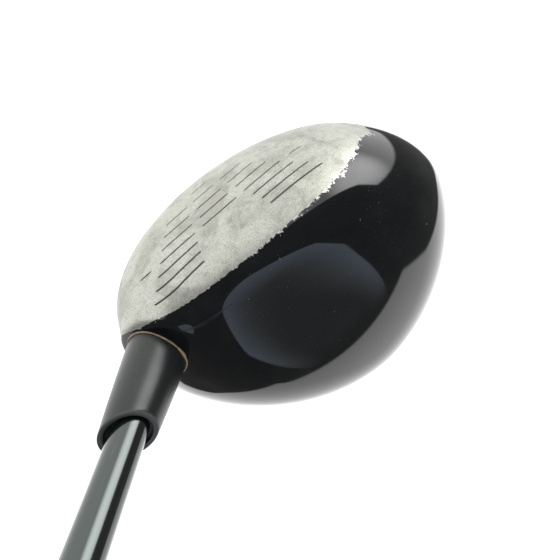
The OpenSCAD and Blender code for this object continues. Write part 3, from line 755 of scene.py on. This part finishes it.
paper_tape = plain_grain("paper_tape", (0.72, 0.68, 0.58), (0.58, 0.53, 0.43),
                         1.0, 0.8, 0.0001, 0.0, (700.0, 2600.0, 700.0), 1.0)
inner = dict(sole_ribs=cast_titanium, hosel_tube=tube_enamel, hosel_plug=cast_titanium, hosel_brace=cast_titanium,
             heel_weight_pad=cast_titanium, toe_weight_pad=cast_titanium,
             rear_weight_pad=cast_titanium, hot_melt_pad=hot_melt,
             tip_epoxy=amber_glue, tip_weight=brass, tip_cork=cork, grip_tape=paper_tape)
for node, material in inner.items():
    body = frame["nodes"][node].data
    if not body.materials:
        body.materials.append(material)
    for place in range(len(body.materials)):
        body.materials[place] = material
print("painted", len(inner), "inner pieces")

# %% [markdown]
# ## The studio
# Black gloss paint has almost no colour of its own, so the room draws it. The floor is a pale sheet with its own
# soft glow, like a light table. Everything that the paint mirrors is in the sky, as a function of direction: a
# white sweep behind the club, a white panel to the left and in front whose middle is a bright window, a large
# oval lamp overhead whose middle is dim, and a dark grey room between them. Camera rays see a plain pale wall.

# %% Floor
bpy.ops.mesh.primitive_grid_add(x_subdivisions=8, y_subdivisions=8, size=24)
floor = bpy.context.object
floor.name = "pale_floor"
floor.location.z = -0.0004
sheet = bench("pale_floor_sheet")
paper = sheet.noise(sheet.place(), 300.0, 3.0, 0.6)
tone = sheet.mix((0.86, 0.86, 0.86), (0.82, 0.82, 0.82), paper)
floor.data.materials.append(sheet.show(sheet.principled(Base_Color=tone, Roughness=0.9, Specular_IOR_Level=0.1,
                                                        Emission_Color=(1.0, 1.0, 1.0), Emission_Strength=0.75)))
floor.visible_glossy = False
print("floor at", round(floor.location.z * 1000, 2), "mm")

# %% Sky by direction
sky = bpy.data.worlds.new("studio")
bpy.context.scene.world = sky
w = Bench(sky)
beam = w.node("ShaderNodeTexCoord").out("Generated")
parts = w.node("ShaderNodeSeparateXYZ", {}, beam)
x, y, z = (parts.out(n) for n in "XYZ")
def half_space(a, b, c, soft=0.02):
    return (x * a + y * b + z * c).rise(-soft, soft)
sweep = (half_space(0, 0.354, -1) * half_space(0.732, 0.593, -0.335)
         * half_space(-0.685, 0.539, -0.491) * half_space(0, 1, 0))
panel = half_space(-0.048, -0.996, -0.073) * half_space(-0.231, -0.373, -0.899)
front = half_space(0.45, -1, 0) * half_space(0, -0.12, -1)
under = (0 - z).rise(0.8, 0.92)
streak = (half_space(-0.726, -0.594, 0.346) * half_space(0.79, 0.5, -0.3, 0.06)
          * half_space(0, 0.354, -1, 0.1) * half_space(0, 1, 0))
up_only = z.most(0.05)
oval_x, oval_y = (x / up_only + y / up_only * 0.21 - 0.28) / 0.87, (y / up_only - 1.9) / 2.45
oval = oval_x * oval_x + oval_y * oval_y
lamp = ((0.16 + oval.rise(0.2, 1.0) * 1.1) * (1.0 - oval.rise(0.985, 1.015))
        * z.rise(0.05, 0.1) * (1.0 - (y / up_only).rise(0.7, 2.6)))
down = (0 - z).rise(0.3, 0.9)
hot = (x * -0.93 + y * -0.33 + z * 0.12).rise(0.88, 0.99)
white = (sweep.most(panel).most(under) * 1.65).most(front * (1.45 - down * 0.85)) + panel * hot * 4.5
haze = w.noise(beam, 2.6, 3.0, 0.6)
glow = white.most(streak * 0.42).most(lamp * 0.85 + 0.1 + haze * haze * 0.2)
tint = w.mix((1.0, 1.0, 1.0), (0.8, 0.93, 1.12), lamp)
room = w.node("ShaderNodeBackground", {}, Color=tint, Strength=glow)
wall = w.node("ShaderNodeBackground", {}, Color=(1.0, 1.0, 1.0), Strength=0.97)
seen = w.node("ShaderNodeLightPath").out("Is Camera Ray")
w.node("ShaderNodeOutputWorld", {}, Surface=w.node("ShaderNodeMixShader", {}, seen, room, wall))
print("sky nodes:", len(sky.node_tree.nodes))

# %% [markdown]
# One large soft lamp adds the gentle modelling that a sky alone lacks. It is hidden from mirrors, so that the
# paint keeps the reflections above.

# %% Soft lamp
lamp_data = bpy.data.lights.new("soft_lamp", "AREA")
lamp_data.shape, lamp_data.size, lamp_data.size_y, lamp_data.energy = "RECTANGLE", 1.6, 1.2, 14.0
soft_lamp = bpy.data.objects.new("soft_lamp", lamp_data)
soft_lamp.location = (-0.9, -1.1, 1.5)
soft_lamp.rotation_euler = (Vector((0, 0, 0.03)) - soft_lamp.location).to_track_quat("-Z", "Y").to_euler()
soft_lamp.visible_glossy = False
bpy.context.scene.collection.objects.link(soft_lamp)
print("lamp at", [round(v, 2) for v in soft_lamp.location])
